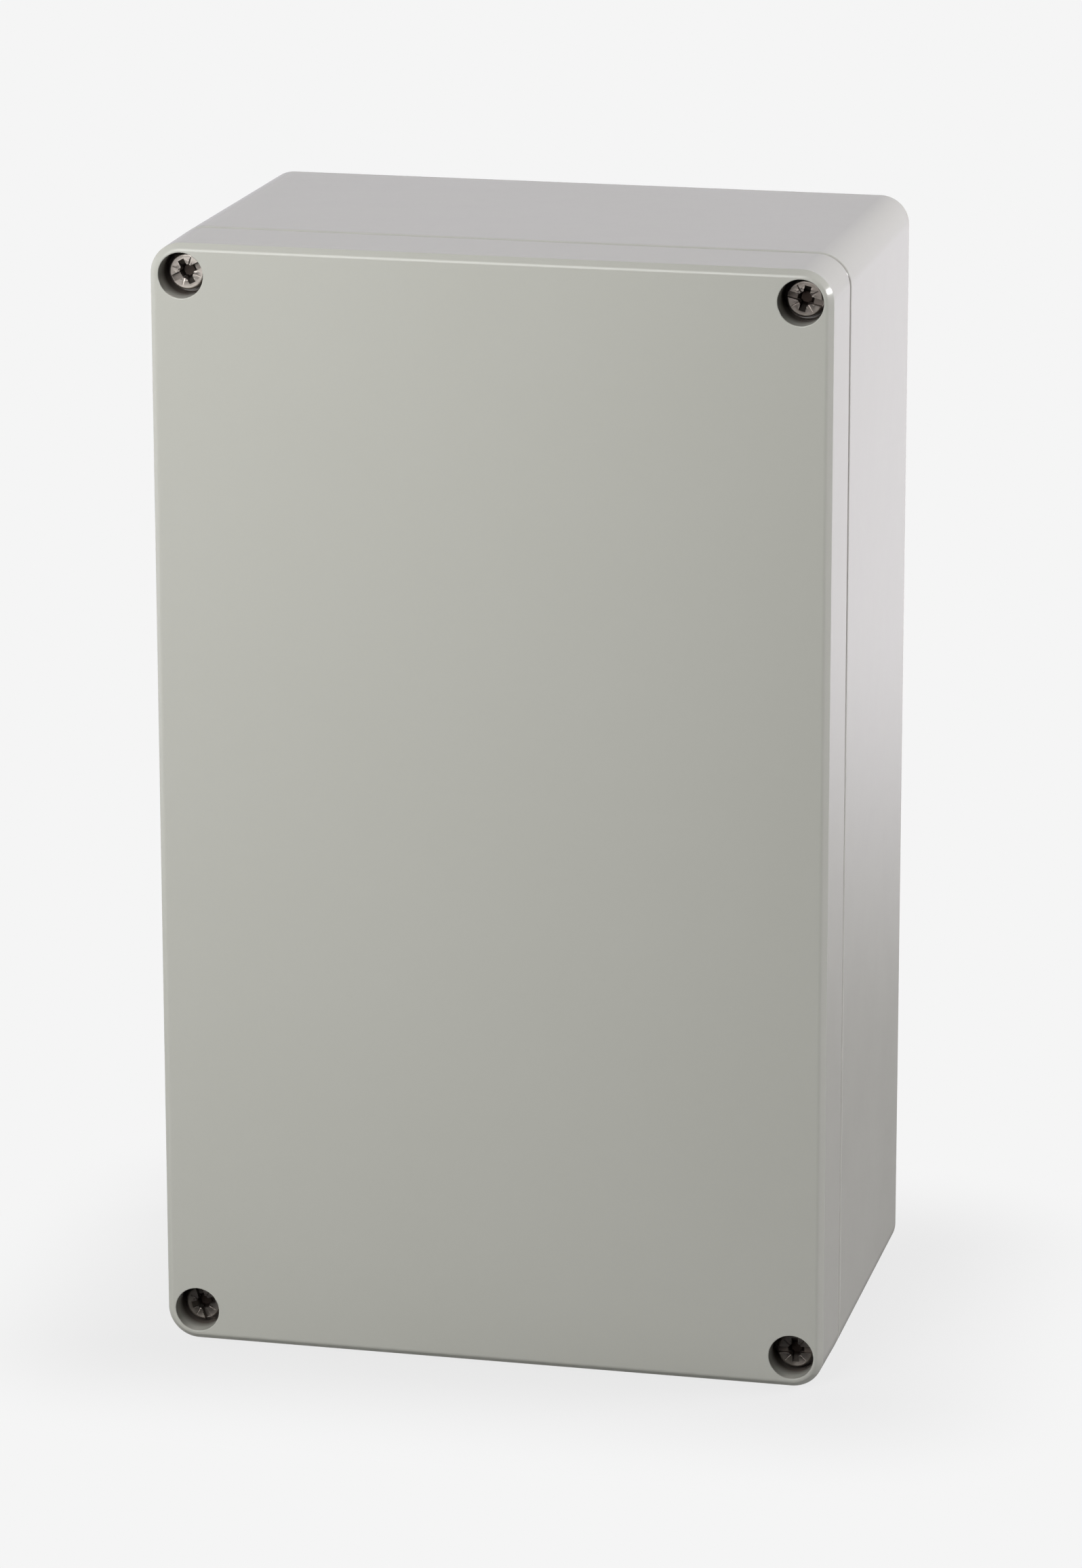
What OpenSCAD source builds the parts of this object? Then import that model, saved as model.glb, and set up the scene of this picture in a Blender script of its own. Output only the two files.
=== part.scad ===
// Plastic project box with a deep screwed lid, standing on its short end.
// +Z runs up the long side, the lid faces -Y, and the origin is the bottom centre.
// Sub-parts are drawn lying on the box's back, opening upwards, and stood up by upright().

/* [Box] */
// Width across the lid
box_w = 120; // [104:1:160]
// Length of the long side
box_h = 200; // [170:1:260]
// Depth from the back to the face of the lid
box_d = 75; // [66:1:100]
// Radius of the four upright corners at the seam
corner_r = 5.7; // [5.4:0.1:7]
// Draft of the base's outer walls, in degrees
base_draft = 0.5; // [0:0.1:1]
// Wall of the base, at its rim
wall = 3.2; // [3:0.1:3.6]
// Floor of the base, which is the back of the box
floor_t = 3; // [2:0.1:4]
// Bevel round the back
back_bevel = 0.4; // [0.2:0.1:1]
// Radius of the inside's upright corners
inner_corner_r = 3; // [2.6:0.1:4]
// Fillet where a corner block meets the inside of the wall
block_fillet_r = 2.5; // [2.3:0.1:4]

/* [Lid] */
// Depth of the lid
lid_h = 15.4; // [14:0.2:17]
// Face plate of the lid
lid_t = 2.8; // [2:0.1:3.4]
// Draft of the lid's outer walls, in degrees
lid_draft = 0.4; // [0:0.1:1]
// Bevel round the face
lid_bevel = 1; // [0.5:0.1:1.4]
// Open line between the lid's skirt and the base's rim
seam_gap = 0.25; // [0.1:0.05:0.4]

/* [Seal] */
// Wall left outside the gasket groove
groove_side = 1.5; // [1.3:0.1:1.7]
// Width of the gasket groove
groove_w = 1.9; // [1.7:0.1:2.1]
// Depth of the gasket groove
groove_depth = 3.2; // [2.8:0.1:4]
// Thickness of the gasket, which fills the groove's end
gasket_t = 1.8; // [1.4:0.1:2.2]
// Room on each side of the base's sealing tongue in the groove
tongue_side_gap = 0.35; // [0.25:0.05:0.45]
// Room on each side of the gasket in the groove
gasket_side_gap = 0.05; // [0.02:0.01:0.1]
// Room between the tongue and the gasket
tongue_top_gap = 0.05; // [0.05:0.05:0.3]
// Wall inside the groove
groove_inner = 1; // [0.8:0.1:1.6]

/* [Lid screws] */
// Diameter of the recess over each screw head
recess_d = 8; // [7.4:0.1:8.4]
// Depth of a head's top below the lid's face
head_sink = 3.9; // [3.6:0.1:4.4]
// Diameter of the head
head_d = 6.4; // [5.8:0.1:6.8]
// Height of the head
head_h = 2.6; // [2.2:0.1:3]
// Rounding of the head's rim
head_edge_r = 0.4; // [0.2:0.1:0.6]
// Width of the slot across the head
slot_w = 1.2; // [0.8:0.1:1.4]
// Depth of the slot
slot_depth = 1.1; // [0.8:0.1:1.4]
// Span of the cross recess, tip to tip
cross_span = 4.5; // [4:0.1:5]
// Width of the cross recess's arms
cross_w = 1.15; // [0.9:0.05:1.3]
// Depth of the cross recess
cross_depth = 1.9; // [1.4:0.1:2.1]
// Width of the four marks between the arms
mark_w = 0.24; // [0.16:0.02:0.4]
// Depth of those marks
mark_depth = 0.12; // [0.06:0.02:0.2]
// Length of the screw below its head
screw_l = 22; // [20:0.5:24]
// Diameter of the neck
neck_d = 3; // [2.6:0.1:3.2]
// Diameter of the thread
thread_d = 4; // [3.8:0.1:4.4]
// Length of the thread, at the tip of the screw
thread_l = 8; // [6:0.5:8]
// Bevel at the screw's tip
tip_bevel = 0.6; // [0.3:0.1:0.8]
// Way that the screw backs out to leave its insert
screw_travel = 8.4; // [8.2:0.1:8.4]
// Hole in the lid for the shank
shank_hole_d = 4.6; // [4.5:0.1:5]

/* [Retaining rings] */
// Thickness of the rubber ring on the neck
ring_t = 1.7; // [1.5:0.1:1.8]
// Running gap between the ring and the neck
ring_gap = 0.05; // [0.02:0.01:0.08]
// Room round the ring in its pocket
pocket_gap = 0.35; // [0.3:0.05:0.5]
// Room between the ring and the thread below it
ring_rest_gap = 0.1; // [0.05:0.05:0.2]
// Depth of the pocket beyond the ring when the screw is out
pocket_spare = 0.4; // [0.3:0.1:0.6]
// How far a pillar's seat stands inside the box's corner
seat_step = 0.7; // [0.4:0.1:1]

/* [Pillar inserts] */
// Diameter of the brass insert in each pillar
insert_d = 5.6; // [5.2:0.1:6]
// Length of the brass insert
insert_l = 8; // [7:0.5:9]
// Running gap between the thread and the insert
thread_gap = 0.05; // [0.02:0.01:0.08]
// Depth of the insert's top below the screw thread's start
insert_drop = 0.2; // [0.1:0.1:0.4]

/* [Wall fixings] */
// Distance of a fixing hole from the box's long side
fixing_side = 6.5; // [6.4:0.1:8]
// Distance of a fixing hole from the box's short end
fixing_end = 18; // [17:0.5:24]
// Diameter of the channel down to the fixing hole
channel_d = 8; // [7.5:0.1:8.4]
// Diameter of the fixing hole through the back
fixing_d = 4.5; // [3.5:0.1:5.5]
// Plastic under the channel, at the fixing hole
channel_floor = 4.5; // [3:0.5:8]
// Plastic between a channel and the inside of the box
channel_web = 2.6; // [2.4:0.1:4]

/* [Floor bosses] */
// Distance of a panel boss from the long side
panel_side = 16; // [14:1:24]
// Distance of a panel boss from the short end
panel_end = 30; // [29:1:50]
// Diameter of a panel boss
panel_boss_d = 8; // [7:0.5:9]
// Height of a panel boss above the floor
panel_boss_h = 8; // [7:0.5:14]
// Diameter of the brass insert in a panel boss
panel_insert_d = 4.6; // [4.2:0.1:5]
// Length of the brass insert in a panel boss
panel_insert_l = 6; // [4:0.5:7]
// Bore of that insert, for an M3 thread
panel_bore_d = 2.5; // [2.4:0.1:3]
// Distance of a board boss from the long side
board_side = 27; // [26:1:45]
// Distance of a board boss from the short end
board_end = 48; // [42:1:70]
// Diameter of a board boss
board_boss_d = 6; // [5:0.5:8]
// Height of a board boss above the floor
board_boss_h = 5; // [4:0.5:10]
// Pilot hole in a board boss, for a thread-forming screw
pilot_d = 2.4; // [2:0.1:3]
// Depth of that pilot hole
pilot_depth = 5; // [4:0.5:6]

/* [Hidden] */
$fn = 64;

// How far a cut runs past the face that it opens
past = 1;
// Gap between a brass insert and the plastic that it is pressed into
press_gap = 0.02;
// Bevel at both ends of an insert, and depth of the waist between its bands
insert_bevel = 0.3;
insert_waist = 0.35;

// Heights above the back of the box
base_h = box_d - lid_h - seam_gap;
seam_z = base_h + seam_gap;
groove_top_z = seam_z + groove_depth;
gasket_z = groove_top_z - gasket_t;
tongue_top_z = gasket_z - tongue_top_gap;
head_top_z = box_d - head_sink;
head_seat_z = head_top_z - head_h;
tip_z = head_seat_z - screw_l;
thread_top_z = tip_z + thread_l;
ring_z = thread_top_z + ring_rest_gap;
insert_top_z = thread_top_z - insert_drop;
insert_z = insert_top_z - insert_l;
pocket_top_z = ring_z + ring_t + screw_travel + pocket_spare;

// Places of what stands on the axes of the corners, with +X, +Y for the top right
screw_x = box_w / 2 - corner_r;
screw_y = box_h / 2 - corner_r;
fixing_x = box_w / 2 - fixing_side;
fixing_y = box_h / 2 - fixing_end;
panel_x = box_w / 2 - panel_side;
panel_y = box_h / 2 - panel_end;
board_x = box_w / 2 - board_side;
board_y = box_h / 2 - board_end;

// Corner blocks, which keep the screws and the fixings outside the seal
block_w = fixing_side + channel_d / 2 + channel_web;
block_l = fixing_end + channel_d / 2 + channel_web;

// Rings and their pockets
ring_inner_r = neck_d / 2 + ring_gap;
ring_mid_r = ring_inner_r + ring_t / 2;
pocket_r = ring_inner_r + ring_t + pocket_gap;
seat_r = corner_r - seat_step;

// Corners: the side in x and in y, and the turn in degrees at which the screw there came to rest
CORNERS = [[-1, 1, 28], [1, 1, -14], [-1, -1, -73], [1, -1, 3]];
TOP_LEFT = CORNERS[0];
TOP_RIGHT = CORNERS[1];
BOTTOM_LEFT = CORNERS[2];
BOTTOM_RIGHT = CORNERS[3];

MOULDED = [0.74, 0.74, 0.70];
ZINC = [0.78, 0.78, 0.76];
BRASS = [0.80, 0.64, 0.32];
RUBBER = [0.12, 0.12, 0.12];

// Stands a sub-part up: its back goes to +Y and its length to +Z
module upright() {
    translate([0, box_d / 2, box_h / 2]) rotate([90, 0, 0]) children();
}

// Repeats a shape in the four corners, at x and y from the box's middle
module in_corners(x, y) {
    for (corner = CORNERS) translate([corner[0] * x, corner[1] * y, 0]) children();
}

// Puts a shape in one corner
module in_corner(corner, x, y) {
    translate([corner[0] * x, corner[1] * y, 0]) children();
}

// Block with round corners, whose drafted walls end in a bevel round its top
module moulded_block(w, l, r, h, draft, bevel) {
    wall_h = h - bevel;
    inset = wall_h * tan(draft);
    for (side = [[w, l, 0], [l, w, 90]])
        rotate([90, 0, side[2]])
            linear_extrude(height = side[1] - 2 * r, center = true)
                polygon([
                    [-side[0] / 2, 0], [side[0] / 2, 0],
                    [side[0] / 2 - inset, wall_h], [side[0] / 2 - inset - bevel, h],
                    [inset + bevel - side[0] / 2, h], [inset - side[0] / 2, wall_h]
                ]);
    for (sx = [-1, 1], sy = [-1, 1])
        translate([sx * (w / 2 - r), sy * (l / 2 - r), 0])
            rotate_extrude()
                polygon([[0, 0], [r, 0], [r - inset, wall_h], [r - inset - bevel, h], [0, h]]);
}

// Rounded rectangle
module rounded_plan(w, l, r) {
    square([w - 2 * r, l], center = true);
    square([w, l - 2 * r], center = true);
    for (sx = [-1, 1], sy = [-1, 1]) translate([sx * (w / 2 - r), sy * (l / 2 - r)]) circle(r);
}

// Outline inside the walls and the corner blocks, set in from the outside by inset
module inner_plan(inset) {
    narrow_w = box_w - 2 * block_w + 2 * (wall - inset);
    short_l = box_h - 2 * block_l + 2 * (wall - inset);
    outer_r = inner_corner_r + wall - inset;
    fillet_r = block_fillet_r + inset - wall;
    rounded_plan(box_w - 2 * inset, short_l, outer_r);
    rounded_plan(narrow_w, box_h - 2 * inset, outer_r);
    for (corner = CORNERS)
        scale([corner[0], corner[1]])
            translate([narrow_w / 2, short_l / 2])
                difference() {
                    translate([-past, -past]) square(fillet_r + past);
                    translate([fillet_r, fillet_r]) circle(fillet_r);
                }
}

// Wall that follows that outline
module inner_wall(outside, inside, h) {
    linear_extrude(height = h) difference() {
        inner_plan(outside);
        inner_plan(inside);
    }
}

// Post with a hole down its middle, open at the top
module hollow_post(d, h, hole_d, hole_depth) {
    difference() {
        cylinder(h = h, d = d);
        translate([0, 0, h - hole_depth]) cylinder(h = hole_depth + past, d = hole_d);
    }
}

// Open box: drafted walls, corner blocks with their bores, floor bosses and sealing tongue
module base() {
    tongue_out = groove_side + tongue_side_gap;
    tongue_in = min(groove_side + groove_w - tongue_side_gap, wall);
    color(MOULDED) upright() difference() {
        union() {
            difference() {
                translate([0, 0, base_h]) mirror([0, 0, 1])
                    moulded_block(box_w, box_h, corner_r, base_h, base_draft, back_bevel);
                translate([0, 0, floor_t]) linear_extrude(height = base_h) inner_plan(wall);
            }
            translate([0, 0, base_h - past])
                inner_wall(tongue_out, tongue_in, tongue_top_z - base_h + past);
            in_corners(screw_x, screw_y)
                translate([0, 0, base_h - past]) cylinder(h = seam_gap + past, r = seat_r);
            in_corners(panel_x, panel_y)
                translate([0, 0, floor_t - past])
                    hollow_post(panel_boss_d, panel_boss_h + past,
                                panel_insert_d + 2 * press_gap, panel_insert_l);
            in_corners(board_x, board_y)
                translate([0, 0, floor_t - past])
                    hollow_post(board_boss_d, board_boss_h + past, pilot_d, pilot_depth);
        }
        in_corners(screw_x, screw_y) {
            translate([0, 0, insert_top_z]) cylinder(h = lid_h, r = pocket_r);
            translate([0, 0, insert_z]) cylinder(h = lid_h, d = insert_d + 2 * press_gap);
        }
        in_corners(fixing_x, fixing_y) {
            translate([0, 0, channel_floor]) cylinder(h = box_d, d = channel_d);
            translate([0, 0, -past]) cylinder(h = box_d, d = fixing_d);
        }
    }
}

// Deep cover: drafted skirt, bevelled face, stepped screw holes and gasket groove
module lid() {
    groove_in = groove_side + groove_w;
    color(MOULDED) upright() difference() {
        translate([0, 0, seam_z])
            moulded_block(box_w, box_h, corner_r, lid_h, lid_draft, lid_bevel);
        translate([0, 0, seam_z - past])
            linear_extrude(height = lid_h - lid_t + past) inner_plan(groove_in + groove_inner);
        translate([0, 0, seam_z - past])
            inner_wall(groove_side, groove_in, groove_depth + past);
        in_corners(screw_x, screw_y) {
            translate([0, 0, head_seat_z]) cylinder(h = box_d, d = recess_d);
            translate([0, 0, seam_z - past]) cylinder(h = box_d, d = shank_hole_d);
            translate([0, 0, seam_z - past]) cylinder(h = pocket_top_z - seam_z + past, r = pocket_r);
        }
        in_corners(fixing_x, fixing_y)
            translate([0, 0, seam_z - past])
                cylinder(h = lid_h - lid_t + past, d = channel_d);
    }
}

// Rubber ring at the bottom of the lid's groove
module gasket() {
    color(RUBBER) upright() translate([0, 0, gasket_z])
        inner_wall(groove_side + gasket_side_gap, groove_side + groove_w - gasket_side_gap, gasket_t);
}

// Half outline of the screw, from its tip up to its head, with the rim rounded
module screw_outline() {
    thread_r = thread_d / 2;
    polygon([
        [0, tip_z], [thread_r - tip_bevel, tip_z], [thread_r, tip_z + tip_bevel],
        [thread_r, thread_top_z], [neck_d / 2, thread_top_z], [neck_d / 2, head_seat_z],
        [head_d / 2, head_seat_z], [head_d / 2, head_top_z - head_edge_r],
        [head_d / 2 - head_edge_r, head_top_z - head_edge_r],
        [head_d / 2 - head_edge_r, head_top_z], [0, head_top_z]
    ]);
    translate([head_d / 2 - head_edge_r, head_top_z - head_edge_r])
        intersection() {
            circle(head_edge_r);
            square(head_edge_r);
        }
}

// Cross recess with arms that narrow towards its floor, round a tapered middle
module cross_recess() {
    foot = cross_span / 5;
    middle_foot_r = 0.8 * cross_w;
    middle_r = 1.1 * cross_w;
    for (turn = [0, 90])
        rotate([0, 0, turn]) rotate([90, 0, 0])
            linear_extrude(height = cross_w, center = true)
                polygon([
                    [-cross_span / 2, 0], [-foot, -cross_depth], [foot, -cross_depth],
                    [cross_span / 2, 0], [cross_span / 2, past], [-cross_span / 2, past]
                ]);
    rotate_extrude() polygon([
        [0, -cross_depth], [middle_foot_r, -cross_depth], [middle_r, 0], [middle_r, past], [0, past]
    ]);
}

// Four fine marks between the arms, as this kind of recess carries
module recess_marks() {
    for (turn = [45, 135])
        rotate([0, 0, turn]) cube([0.82 * head_d, mark_w, 2 * mark_depth], center = true);
}

// Captive screw: slotted and cross-recessed head, thin neck and plain-bodied thread
module lid_screw(corner) {
    color(ZINC) upright() in_corner(corner, screw_x, screw_y) difference() {
        rotate_extrude() screw_outline();
        translate([0, 0, head_top_z]) rotate([0, 0, corner[2]]) {
            translate([0, 0, past / 2 - slot_depth / 2])
                cube([2 * head_d, slot_w, slot_depth + past], center = true);
            cross_recess();
            recess_marks();
        }
    }
}

// Rubber ring on a screw's neck, which stops the screw from falling out of the lid
module retaining_ring(corner) {
    color(RUBBER) upright() in_corner(corner, screw_x, screw_y)
        translate([0, 0, ring_z + ring_t / 2])
            rotate_extrude() translate([ring_mid_r, 0]) circle(d = ring_t);
}

// Brass insert with a waist between two bands, standing on z = 0
module brass_insert(d, l, bore_d) {
    band_r = d / 2;
    waist_r = band_r - insert_waist;
    lower_band = 0.38 * l;
    upper_band = 0.56 * l;
    color(BRASS) rotate_extrude() polygon([
        [bore_d / 2, 0], [band_r - insert_bevel, 0], [band_r, insert_bevel], [band_r, lower_band],
        [waist_r, lower_band], [waist_r, upper_band], [band_r, upper_band],
        [band_r, l - insert_bevel], [band_r - insert_bevel, l], [bore_d / 2, l]
    ]);
}

module pillar_insert(corner) {
    upright() in_corner(corner, screw_x, screw_y) translate([0, 0, insert_z])
        brass_insert(insert_d, insert_l, thread_d + 2 * thread_gap);
}

module panel_insert(corner) {
    upright() in_corner(corner, panel_x, panel_y)
        translate([0, 0, floor_t + panel_boss_h - panel_insert_l])
            brass_insert(panel_insert_d, panel_insert_l, panel_bore_d);
}

base();
lid();
gasket();
lid_screw(TOP_LEFT);  // screw_top_left
lid_screw(TOP_RIGHT);  // screw_top_right
lid_screw(BOTTOM_LEFT);  // screw_bottom_left
lid_screw(BOTTOM_RIGHT);  // screw_bottom_right
retaining_ring(TOP_LEFT);  // ring_top_left
retaining_ring(TOP_RIGHT);  // ring_top_right
retaining_ring(BOTTOM_LEFT);  // ring_bottom_left
retaining_ring(BOTTOM_RIGHT);  // ring_bottom_right
pillar_insert(TOP_LEFT);  // insert_top_left
pillar_insert(TOP_RIGHT);  // insert_top_right
pillar_insert(BOTTOM_LEFT);  // insert_bottom_left
pillar_insert(BOTTOM_RIGHT);  // insert_bottom_right
panel_insert(TOP_LEFT);  // panel_insert_top_left
panel_insert(TOP_RIGHT);  // panel_insert_top_right
panel_insert(BOTTOM_LEFT);  // panel_insert_bottom_left
panel_insert(BOTTOM_RIGHT);  // panel_insert_bottom_right
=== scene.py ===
# %% [markdown]
# # A sealed plastic project box
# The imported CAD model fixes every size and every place. This script dresses it:
# moulded edges get their small rounds, screws their threads, brass inserts their
# knurls, and each material its finish. All shapes are worked out with numpy as
# whole arrays, in the box's own millimetres, and then stood up in metres.

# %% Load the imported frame
import math

import bmesh
import bpy
import numpy as np
from mathutils import Matrix, Vector
from mathutils.geometry import delaunay_2d_cdt


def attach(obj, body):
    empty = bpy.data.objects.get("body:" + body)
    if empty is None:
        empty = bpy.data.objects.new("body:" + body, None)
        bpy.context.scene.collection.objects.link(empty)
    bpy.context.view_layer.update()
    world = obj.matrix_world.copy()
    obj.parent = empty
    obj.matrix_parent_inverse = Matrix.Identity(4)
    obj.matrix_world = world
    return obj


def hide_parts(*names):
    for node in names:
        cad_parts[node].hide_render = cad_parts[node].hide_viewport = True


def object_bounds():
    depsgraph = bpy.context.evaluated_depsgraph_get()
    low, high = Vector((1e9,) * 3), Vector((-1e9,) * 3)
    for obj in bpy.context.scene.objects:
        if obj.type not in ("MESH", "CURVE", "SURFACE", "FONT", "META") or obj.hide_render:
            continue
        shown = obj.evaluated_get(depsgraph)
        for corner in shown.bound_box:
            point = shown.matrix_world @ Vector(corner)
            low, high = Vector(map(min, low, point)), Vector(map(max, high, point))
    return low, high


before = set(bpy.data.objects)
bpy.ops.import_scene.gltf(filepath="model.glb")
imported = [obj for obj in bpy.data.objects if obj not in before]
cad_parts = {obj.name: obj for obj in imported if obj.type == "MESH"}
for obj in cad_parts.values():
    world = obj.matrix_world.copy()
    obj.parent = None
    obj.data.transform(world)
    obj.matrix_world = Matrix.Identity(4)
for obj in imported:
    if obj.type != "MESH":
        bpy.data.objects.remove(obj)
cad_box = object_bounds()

print("CAD box in mm:", [[round(1000 * c, 2) for c in corner] for corner in cad_box])

# %% [markdown]
# ## Sizes
# The box is drawn lying on its back and opening upwards, with x across it and y
# along it. A height is a distance above the back. The outer sizes come from the
# CAD box, and the rest repeat the part's source, because this script can't read it.

# %% Outer sizes and heights
MM = 0.001
BOX_W, BOX_D, BOX_H = (cad_box[1] - cad_box[0]) / MM
CORNER_R = 5.7
BASE_DRAFT, LID_DRAFT = math.radians(0.5), math.radians(0.4)
BACK_BEVEL, LID_BEVEL = 0.4, 1.0
LID_H, LID_T, SEAM_GAP = 15.4, 2.8, 0.25
SEAM_Z = BOX_D - LID_H
BASE_Z = SEAM_Z - SEAM_GAP
FLOOR_Z = 3.0
CEILING_Z = BOX_D - LID_T
print(f"box {BOX_W:.1f} x {BOX_H:.1f} x {BOX_D:.1f} mm, seam at {BASE_Z:.2f} to {SEAM_Z:.2f}")

# %% Sizes of the walls and the seal
WALL, INNER_R, FILLET_R = 3.2, 3.0, 2.5
BLOCK_W, BLOCK_L = 13.1, 24.6
GROOVE_OUT, GROOVE_IN, RIDGE_IN, GROOVE_DEPTH = 1.5, 3.4, 4.4, 3.2
GASKET_T, GASKET_SIDE_GAP = 1.8, 0.05
GROOVE_Z = SEAM_Z + GROOVE_DEPTH
GASKET_Z = GROOVE_Z - GASKET_T
TONGUE_OUT, TONGUE_IN, TONGUE_Z = 1.85, 3.05, GASKET_Z - 0.05
print(f"groove up to {GROOVE_Z:.2f}, gasket from {GASKET_Z:.2f}, tongue up to {TONGUE_Z:.2f}")

# %% Sizes of the lid's screws and their rings
HEAD_SINK, HEAD_H, HEAD_R = 3.9, 2.6, 3.2
SCREW_L, THREAD_L, NECK_R = 22, 8, 1.5
THREAD_R, ROOT_R, PITCH, TIP_BEVEL = 2.0, 1.61, 0.7, 0.6
RING_T, RING_GAP, RING_REST_GAP, TRAVEL = 1.7, 0.05, 0.1, 8.4
HEAD_Z = BOX_D - HEAD_SINK
SEAT_Z = HEAD_Z - HEAD_H
TIP_Z = SEAT_Z - SCREW_L
THREAD_Z = TIP_Z + THREAD_L
RING_Z = THREAD_Z + RING_REST_GAP
print(f"heads from {SEAT_Z:.2f} to {HEAD_Z:.2f}, threads from {TIP_Z:.2f} to {THREAD_Z:.2f}")

# %% Sizes of the holes and of what fills them
RECESS_R, SHANK_HOLE_R, POCKET_R, SEAT_R = 4.0, 2.3, 3.6, 5.0
POCKET_Z = RING_Z + RING_T + TRAVEL + 0.4
INSERT_R, INSERT_L, PRESS_GAP = 2.8, 8, 0.02
INSERT_TOP_Z = THREAD_Z - 0.2
INSERT_Z = INSERT_TOP_Z - INSERT_L
PANEL_INSERT_R, PANEL_INSERT_L, PANEL_BORE_R, PANEL_PITCH = 2.3, 6, 1.25, 0.5
CHANNEL_R, CHANNEL_Z, FIXING_R = 4.0, 4.5, 2.25
PANEL_R, PANEL_Z = 4.0, FLOOR_Z + 8
BOARD_R, BOARD_Z, PILOT_R, PILOT_DEPTH = 3.0, FLOOR_Z + 5, 1.2, 5

# %% Places, mirrored into the four corners
SCREWS = (BOX_W / 2 - CORNER_R, BOX_H / 2 - CORNER_R)
FIXINGS = (BOX_W / 2 - 6.5, BOX_H / 2 - 18)
PANELS = (BOX_W / 2 - 16, BOX_H / 2 - 30)
BOARDS = (BOX_W / 2 - 27, BOX_H / 2 - 48)
CORNERS = {"top_left": (-1, 1), "top_right": (1, 1),
           "bottom_left": (-1, -1), "bottom_right": (1, -1)}
print("screw axes at", SCREWS, "and fixing holes at", FIXINGS)

# %% [markdown]
# ## Surfaces
# A moulding is a profile carried round an outline, or a profile turned about an
# axis. A mould never has a sharp edge, so a small helper rounds the corners of a
# profile, each with its own radius. Such edges catch the light as the real ones do.

# %% Profile with rounded corners
def eased(corners, radii, steps=5):
    """Rounds a profile's corners. A corner of radius r becomes an arc that touches
    both of its sides: its ends lie r / tan(half angle) along the sides, its centre
    lies r / sin(half angle) along the bisector, and its points turn evenly about it."""
    corners = np.asarray(corners, float)
    share = np.linspace(0, 1, steps + 1)[:, None]
    pieces = [corners[:1]]
    for before, here, after, radius in zip(corners, corners[1:], corners[2:], radii):
        if not radius:
            pieces.append(here[None])
            continue
        back, on = before - here, after - here
        back, on = back / np.linalg.norm(back), on / np.linalg.norm(on)
        half = math.acos(back @ on) / 2
        centre = here + (back + on) / np.linalg.norm(back + on) * radius / math.sin(half)
        start = here + back * radius / math.tan(half) - centre
        end = here + on * radius / math.tan(half) - centre
        turn = math.pi - 2 * half
        arc = np.sin((1 - share) * turn) * start + np.sin(share * turn) * end
        pieces.append(centre + arc / math.sin(turn))
    return np.concatenate([*pieces, corners[-1:]])


# %% Outlines of the box and of its inside
ARC = np.linspace(0, math.pi / 2, 17)


def around(turn):
    """Unit vectors at these angles: the cosine and the sine."""
    return np.stack([np.cos(turn), np.sin(turn)], -1)


def box_outline(inset):
    """Rounded rectangle, set in: four quarter circles about fixed centres, whose
    radius is the corner's less the inset. Rows are insets, columns are points."""
    radius = CORNER_R - np.asarray(inset, float)[:, None, None, None]
    quarter = np.arange(4)[:, None] * math.pi / 2
    centres = np.sign(around(quarter + math.pi / 4)) * np.array(SCREWS)
    return (centres + radius * around(quarter + ARC)).reshape(len(inset), -1, 2)


def inner_outline(inset):
    """Plus with round corners, which runs inside the walls and the corner blocks. A
    quarter of it is an arc, a hollow arc round the block and an arc, about fixed
    centres. As the inset grows the arcs shrink by it and the hollow one grows."""
    inset = np.asarray(inset, float)[:, None, None]
    outer, hollow = INNER_R + WALL - inset, FILLET_R - WALL + inset
    x, y = BOX_W / 2, BOX_H / 2
    quarter = np.concatenate([
        np.array([x - WALL - INNER_R, y - BLOCK_L - INNER_R]) + outer * around(ARC),
        np.array([x - BLOCK_W + FILLET_R, y - BLOCK_L + FILLET_R])
        + hollow * around(1.5 * math.pi - ARC),
        np.array([x - BLOCK_W - INNER_R, y - WALL - INNER_R]) + outer * around(ARC)], 1)
    back = quarter[:, ::-1]
    return np.concatenate([quarter, back * [-1, 1], quarter * [-1, -1], back * [1, -1]], 1)


print("points round the box and its inside:",
      box_outline([0]).shape[1], inner_outline([0]).shape[1])

# %% Grids from a profile
def carried(profile, outline):
    """Profile of (inset, height) carried round an outline: the outline at each
    inset, lifted to that height."""
    plan = outline(profile[:, 0])
    height = np.broadcast_to(profile[:, 1, None, None], (*plan.shape[:2], 1))
    return np.concatenate([plan, height], -1)


def turned(profile, x, y, steps=64):
    """Profile of (radius, height) turned about the upright axis at x, y: the radius
    times the cosine and sine of the angle, added to x and y."""
    turn = np.arange(steps) * 2 * math.pi / steps
    plan = np.array([x, y]) + profile[:, 0, None, None] * around(turn)
    height = np.broadcast_to(profile[:, 1, None, None], (*plan.shape[:2], 1))
    return np.concatenate([plan, height], -1)


def circle(radius, x, y):
    """Flat ring of points, which matches the first or last row of a turned grid."""
    return turned(np.array([[radius, 0]]), x, y)[0, :, :2]


# %% [markdown]
# ## Closed shells
# A moulding is one closed skin. Its grids meet along shared rows of points, and
# flat caps fill the plain faces round the holes. Delaunay triangulation makes the
# caps, because it takes outlines with any number of holes.

# %% Flat caps
def inside(loop, points):
    """Crossing rule: a point is inside a loop if a ray from it along x crosses the
    loop's sides an odd number of times."""
    x, y = points[:, None, 0], points[:, None, 1]
    x0, y0 = loop.T
    x1, y1 = np.roll(loop, -1, 0).T
    between = (y0 > y) != (y1 > y)
    rise = np.where(y1 == y0, 1, y1 - y0)
    return (between & (x < x0 + (y - y0) * (x1 - x0) / rise)).sum(1) % 2 == 1


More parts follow.
